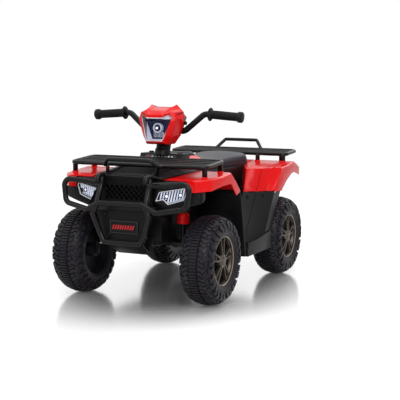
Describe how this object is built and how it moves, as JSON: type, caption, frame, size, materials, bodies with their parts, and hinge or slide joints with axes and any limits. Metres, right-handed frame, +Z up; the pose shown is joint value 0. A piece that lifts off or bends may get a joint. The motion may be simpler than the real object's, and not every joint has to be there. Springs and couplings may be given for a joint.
{
  "type": "ride-on electric quad bike",
  "caption": "Child's battery-powered ride-on quad bike with treaded wheels, linked steering, bull-bar bumper, racks, lamp pod on the handlebar, foot throttle and moulded bodywork.",
  "frame": {"origin": "on the floor, under the middle of the bounding box", "axes": "-Y forwards, +X to the quad's left, +Z up"},
  "size_m": [0.616, 1.0745, 0.682],
  "materials": {
    "red_plastic": "gloss",
    "black_plastic": "satin",
    "tyre": "satin",
    "rim": "satin",
    "lens": "clear",
    "reflector": "bright",
    "steel": "zinc plated",
    "black_paint": "satin",
    "grip": "matt",
    "seat": "grained"
  },
  "bodies": {
    "chassis": {"chassis_tub": "black_plastic", "centre_body": "black_plastic", "bonnet": "black_plastic", "grille": "black_plastic", "nose_panel": "black_plastic", "number_plate": "black_plastic", "front_mudguard_left": "red_plastic", "front_mudguard_right": "red_plastic", "headlight_housings": "black_plastic", "headlight_lenses": "lens", "headlight_reflectors": "reflector", "bumper": "black_plastic", "front_rack": "black_plastic", "rear_rack": "black_plastic", "dash_console": "black_plastic", "tank_cover": "red_plastic", "seat": "seat", "leg_shields": "black_plastic", "footboard_left": "black_plastic", "footboard_right": "black_plastic", "rear_leg_panel_left": "black_plastic", "rear_leg_panel_right": "black_plastic", "rear_mudguard_left": "red_plastic", "rear_mudguard_right": "red_plastic", "tail_panel": "red_plastic", "front_axle_beam": "steel", "kingpin_bolts": "steel", "rear_axle": "steel", "rear_axle_nuts": "steel", "drive_units": "black_plastic", "front_shocks": "red_plastic", "battery": "black_plastic", "control_box": "black_plastic", "charging_socket": "black_plastic", "steering_bushes": "black_plastic"},
    "steering": {"steering_column": "steel", "handlebar": "black_paint", "grips": "grip", "pod_shell": "red_plastic", "pod_lens": "lens", "pod_reflector": "reflector", "pod_back_cover": "black_plastic"},
    "horn": {"horn_button": "black_plastic"},
    "tie_rod": {"tie_rod": "steel"},
    "knuckle_left": {"knuckle_left": "steel", "spindle_nut_left": "steel"},
    "knuckle_right": {"knuckle_right": "steel", "spindle_nut_right": "steel"},
    "wheel_front_left": {"tyre_front_left": "tyre", "wheel_cover_front_left": "rim"},
    "wheel_front_right": {"tyre_front_right": "tyre", "wheel_cover_front_right": "rim"},
    "wheel_rear_left": {"tyre_rear_left": "tyre", "wheel_cover_rear_left": "rim"},
    "wheel_rear_right": {"tyre_rear_right": "tyre", "wheel_cover_rear_right": "rim"},
    "pedal": {"throttle_pedal": "black_plastic"},
    "power": {"power_button": "black_plastic"},
    "direction": {"direction_switch": "black_plastic"}
  },
  "joints": [
    {"name": "steering_turn", "type": "hinge", "parent": "chassis", "child": "steering", "pos_m": [0, -0.322, 0.196], "axis": [0, 0.3234, 0.9463], "range_deg": [-35, 35]},
    {"name": "tie_rod_slide", "type": "slide", "parent": "chassis", "child": "tie_rod", "axis": [1, 0, 0], "range_m": [-0.0185, 0.0185]},
    {"name": "knuckle_left_turn", "type": "hinge", "parent": "chassis", "child": "knuckle_left", "pos_m": [0.185, -0.34, 0.202], "axis": [0, 0, 1], "range_deg": [-21, 21]},
    {"name": "knuckle_right_turn", "type": "hinge", "parent": "chassis", "child": "knuckle_right", "pos_m": [-0.185, -0.34, 0.202], "axis": [0, 0, 1], "range_deg": [-21, 21]},
    {"name": "wheel_front_left_spin", "type": "hinge", "parent": "knuckle_left", "child": "wheel_front_left", "pos_m": [0.25, -0.34, 0.155], "axis": [1, 0, 0], "continuous": true},
    {"name": "wheel_front_right_spin", "type": "hinge", "parent": "knuckle_right", "child": "wheel_front_right", "pos_m": [-0.25, -0.34, 0.155], "axis": [1, 0, 0], "continuous": true},
    {"name": "wheel_rear_left_spin", "type": "hinge", "parent": "chassis", "child": "wheel_rear_left", "pos_m": [0.25, 0.315, 0.155], "axis": [1, 0, 0], "continuous": true},
    {"name": "wheel_rear_right_spin", "type": "hinge", "parent": "chassis", "child": "wheel_rear_right", "pos_m": [-0.25, 0.315, 0.155], "axis": [1, 0, 0], "continuous": true},
    {"name": "pedal_press", "type": "hinge", "parent": "chassis", "child": "pedal", "pos_m": [-0.19, -0.025, 0.171], "axis": [1, 0, 0], "range_deg": [0, 9], "stiffness_Nm_per_rad": 2.5, "springref_deg": -5.73},
    {"name": "horn_press", "type": "slide", "parent": "steering", "child": "horn", "axis": [-1, 0, 0], "range_m": [0, 0.003], "stiffness_N_per_m": 600, "springref_m": -0.002},
    {"name": "power_press", "type": "slide", "parent": "chassis", "child": "power", "axis": [0, 0, -1], "range_m": [0, 0.003], "stiffness_N_per_m": 600, "springref_m": -0.002},
    {"name": "direction_rock", "type": "hinge", "parent": "chassis", "child": "direction", "pos_m": [0.058, -0.19, 0.502], "axis": [1, 0, 0], "range_deg": [-8, 8]}
  ],
  "couplings": [
    {"joint": "tie_rod_slide", "follows": "steering_turn", "m_per_rad": -0.0297},
    {"joint": "knuckle_left_turn", "follows": "steering_turn", "ratio": 0.582},
    {"joint": "knuckle_right_turn", "follows": "steering_turn", "ratio": 0.582}
  ]
}
